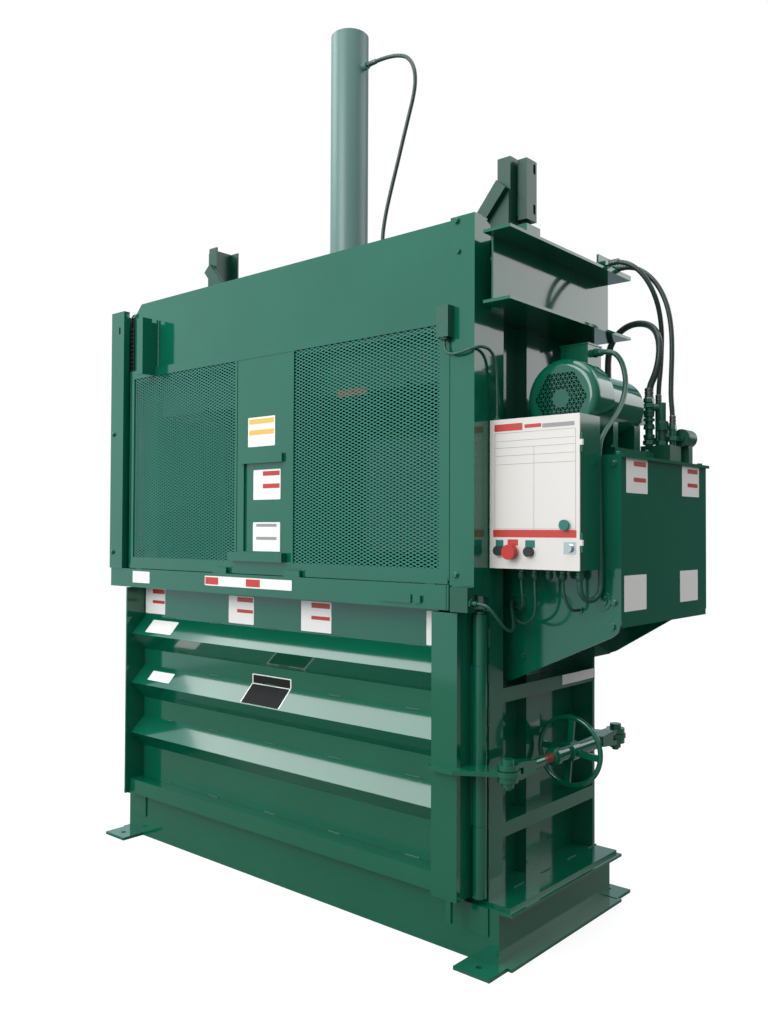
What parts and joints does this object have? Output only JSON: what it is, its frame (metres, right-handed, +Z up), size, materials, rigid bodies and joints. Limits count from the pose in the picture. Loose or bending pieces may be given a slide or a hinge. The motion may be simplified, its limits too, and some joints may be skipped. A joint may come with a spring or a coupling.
{
  "type": "recycling baler",
  "caption": "Vertical downstroke baler with a hydraulic ram and platen, a lift gate over a ribbed chamber door, a swinging latch bar, and a power unit on the side.",
  "frame": {"origin": "centre of the four floor anchor holes, at the underside of the base", "axes": "+X to the right seen from the front, +Y to the back, +Z up"},
  "size_m": [2.493, 0.996, 3.54],
  "materials": {
    "green_enamel": "gloss",
    "chrome_rod": "polished",
    "bare_steel": "satin",
    "hose_rubber": "satin",
    "cable_sheath": "satin",
    "panel_enamel": "satin",
    "black_plastic": "gloss",
    "red_plastic": "gloss",
    "teal_plastic": "gloss",
    "chrome_trim": "polished"
  },
  "bodies": {
    "frame": {"base_frame": "green_enamel", "chamber_floor": "green_enamel", "corner_posts": "green_enamel", "wall_sheets": "green_enamel", "guide_channels": "green_enamel", "side_ribs": "green_enamel", "top_beams": "green_enamel", "head_beams": "green_enamel", "upper_cover": "green_enamel", "right_column": "green_enamel", "gate_post": "green_enamel", "gate_chain": "green_enamel", "sill": "green_enamel", "hinge_tubes": "green_enamel", "hinge_pins": "bare_steel", "rear_lug": "green_enamel", "cylinder": "green_enamel", "power_shelf": "green_enamel", "tank": "green_enamel", "tank_lid": "green_enamel", "motor_body": "green_enamel", "fan_cover": "green_enamel", "pump": "green_enamel", "valve_block": "green_enamel", "return_filter": "green_enamel", "control_box": "green_enamel", "limit_switches": "green_enamel", "hose_bracket": "green_enamel", "cylinder_hose": "hose_rubber", "pressure_hose_1": "hose_rubber", "pressure_hose_2": "hose_rubber", "return_hose": "hose_rubber", "motor_conduit": "cable_sheath", "gate_switch_cable": "cable_sheath", "door_switch_cable": "cable_sheath", "control_cable_1": "cable_sheath", "control_cable_2": "cable_sheath", "control_cable_3": "cable_sheath"},
    "gate": {"gate_frame": "green_enamel", "gate_mesh": "green_enamel", "gate_panel": "green_enamel"},
    "balance_weight": {"counterweight": "green_enamel"},
    "upper_sprocket": {"sprocket_top": "green_enamel"},
    "lower_sprocket": {"sprocket_bottom": "green_enamel"},
    "door": {"door_panel": "green_enamel", "door_ribs": "green_enamel"},
    "latch": {"latch_bar": "green_enamel"},
    "rear_link": {"rear_yoke": "green_enamel"},
    "front_link": {"front_yoke": "green_enamel"},
    "wheel": {"handwheel": "green_enamel"},
    "ram": {"ram_rod": "chrome_rod", "platen": "green_enamel", "platen_guides": "green_enamel"},
    "rotor": {"motor_fan": "bare_steel"},
    "panel_door": {"control_door": "panel_enamel"},
    "start_switch": {"start_knob": "black_plastic"},
    "stop_switch": {"stop_button": "red_plastic"},
    "mode_switch": {"mode_knob": "black_plastic"},
    "push_switch": {"round_button": "teal_plastic"},
    "key_lock": {"key_switch": "chrome_trim"}
  },
  "joints": [
    {"name": "gate_lift", "type": "slide", "parent": "frame", "child": "gate", "axis": [0, 0, 1], "range_m": [0, 0.8]},
    {"name": "balance_drop", "type": "slide", "parent": "frame", "child": "balance_weight", "axis": [0, 0, 1], "range_m": [-0.81, 0]},
    {"name": "upper_sprocket_spin", "type": "hinge", "parent": "frame", "child": "upper_sprocket", "pos_m": [-0.99, -0.3865, 2.385], "axis": [1, 0, 0], "range_deg": [-1860, 0]},
    {"name": "lower_sprocket_spin", "type": "hinge", "parent": "frame", "child": "lower_sprocket", "pos_m": [-0.99, -0.3865, 1.29], "axis": [1, 0, 0], "range_deg": [-1860, 0]},
    {"name": "door_swing", "type": "hinge", "parent": "frame", "child": "door", "pos_m": [-0.995, -0.3713, 0.7], "axis": [0, 0, -1], "range_deg": [0, 105]},
    {"name": "latch_swing", "type": "hinge", "parent": "frame", "child": "latch", "pos_m": [0.95, -0.3713, 0.7], "axis": [0, 0, 1], "range_deg": [0, 34]},
    {"name": "rear_link_swing", "type": "hinge", "parent": "frame", "child": "rear_link", "pos_m": [1.062, 0.366, 0.63], "axis": [0, 0, 1], "range_deg": [-1.05, 0]},
    {"name": "front_link_slide", "type": "slide", "parent": "rear_link", "child": "front_link", "axis": [0, 1, 0], "range_m": [0, 0.0635]},
    {"name": "wheel_spin", "type": "hinge", "parent": "rear_link", "child": "wheel", "pos_m": [1.062, 0.02, 0.63], "axis": [0, 1, 0], "range_deg": [0, 1800]},
    {"name": "ram_stroke", "type": "slide", "parent": "frame", "child": "ram", "axis": [0, 0, -1], "range_m": [0, 1.15]},
    {"name": "rotor_spin", "type": "hinge", "parent": "frame", "child": "rotor", "pos_m": [1.15, 0, 1.846], "axis": [0, 1, 0], "continuous": true},
    {"name": "panel_door_swing", "type": "hinge", "parent": "frame", "child": "panel_door", "pos_m": [1.314, -0.35, 1.5], "axis": [0, 0, 1], "range_deg": [0, 110]},
    {"name": "start_turn", "type": "hinge", "parent": "panel_door", "child": "start_switch", "pos_m": [1.015, -0.36, 1.341], "axis": [0, 1, 0], "range_deg": [-45, 45]},
    {"name": "stop_press", "type": "slide", "parent": "panel_door", "child": "stop_switch", "axis": [0, 1, 0], "range_m": [0, 0.006]},
    {"name": "mode_turn", "type": "hinge", "parent": "panel_door", "child": "mode_switch", "pos_m": [1.13, -0.36, 1.339], "axis": [0, 1, 0], "range_deg": [-45, 45]},
    {"name": "push_press", "type": "slide", "parent": "panel_door", "child": "push_switch", "axis": [0, 1, 0], "range_m": [0, 0.004], "stiffness_N_per_m": 800},
    {"name": "key_turn", "type": "hinge", "parent": "panel_door", "child": "key_lock", "pos_m": [1.272, -0.36, 1.352], "axis": [0, 1, 0], "range_deg": [0, 90]}
  ],
  "couplings": [
    {"joint": "balance_drop", "follows": "gate_lift", "ratio": -1},
    {"joint": "upper_sprocket_spin", "follows": "gate_lift", "rad_per_m": -40.177},
    {"joint": "lower_sprocket_spin", "follows": "gate_lift", "rad_per_m": -40.177},
    {"joint": "rear_link_swing", "follows": "latch_swing", "ratio": -0.02941},
    {"joint": "front_link_slide", "follows": "latch_swing", "m_per_rad": 0.1065},
    {"joint": "wheel_spin", "follows": "latch_swing", "ratio": 52.691}
  ]
}
